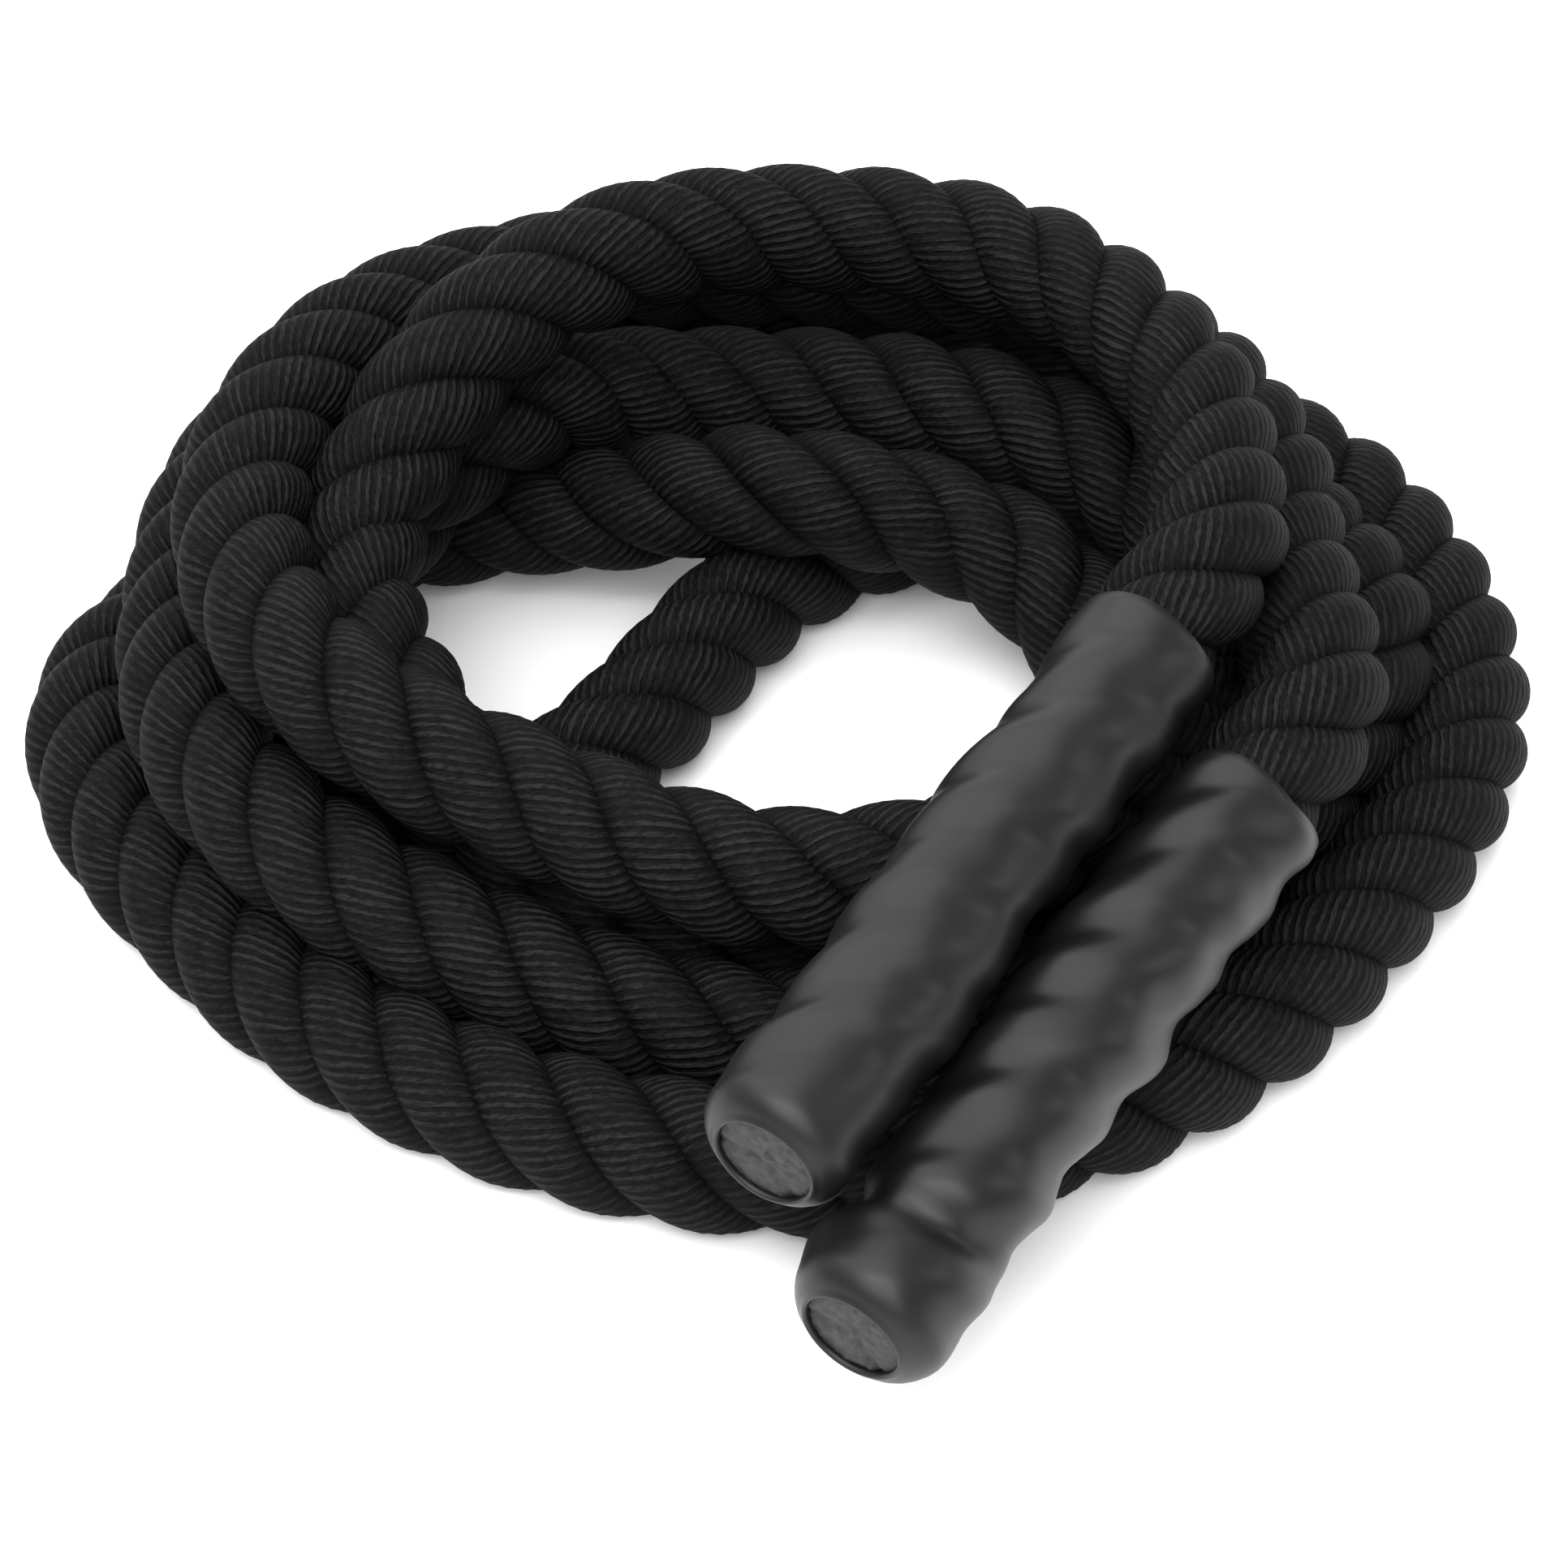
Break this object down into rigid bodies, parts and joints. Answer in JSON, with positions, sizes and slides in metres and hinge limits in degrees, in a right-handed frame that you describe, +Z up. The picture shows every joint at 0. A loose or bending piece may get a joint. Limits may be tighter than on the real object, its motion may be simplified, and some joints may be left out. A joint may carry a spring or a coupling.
{
  "type": "battle rope",
  "caption": "Black three-strand training rope lying in a layered oval coil, with a tubular shrink sleeve grip on each end, the ends side by side.",
  "frame": {"origin": "middle of the footprint's bounding box, on the floor that the coil lies on", "axes": "+Z up; -Y towards the free ends of the grips, which is the side the picture was taken from; +X to the right seen from there"},
  "size_m": [0.4294, 0.4704, 0.1264],
  "materials": {
    "rope_fibre": "matt black polyester yarn, laid in three strands",
    "shrink_sleeve": "satin black shrink tubing, bare",
    "fused_fibre": "dull, melted fibre ends"
  },
  "bodies": {
    "root": {"rope_coil": "rope_fibre", "rope_end_a": "rope_fibre", "rope_end_b": "rope_fibre", "grip_sleeve_a": "shrink_sleeve", "grip_sleeve_b": "shrink_sleeve", "fused_end_a": "fused_fibre", "fused_end_b": "fused_fibre"}
  },
  "joints": []
}
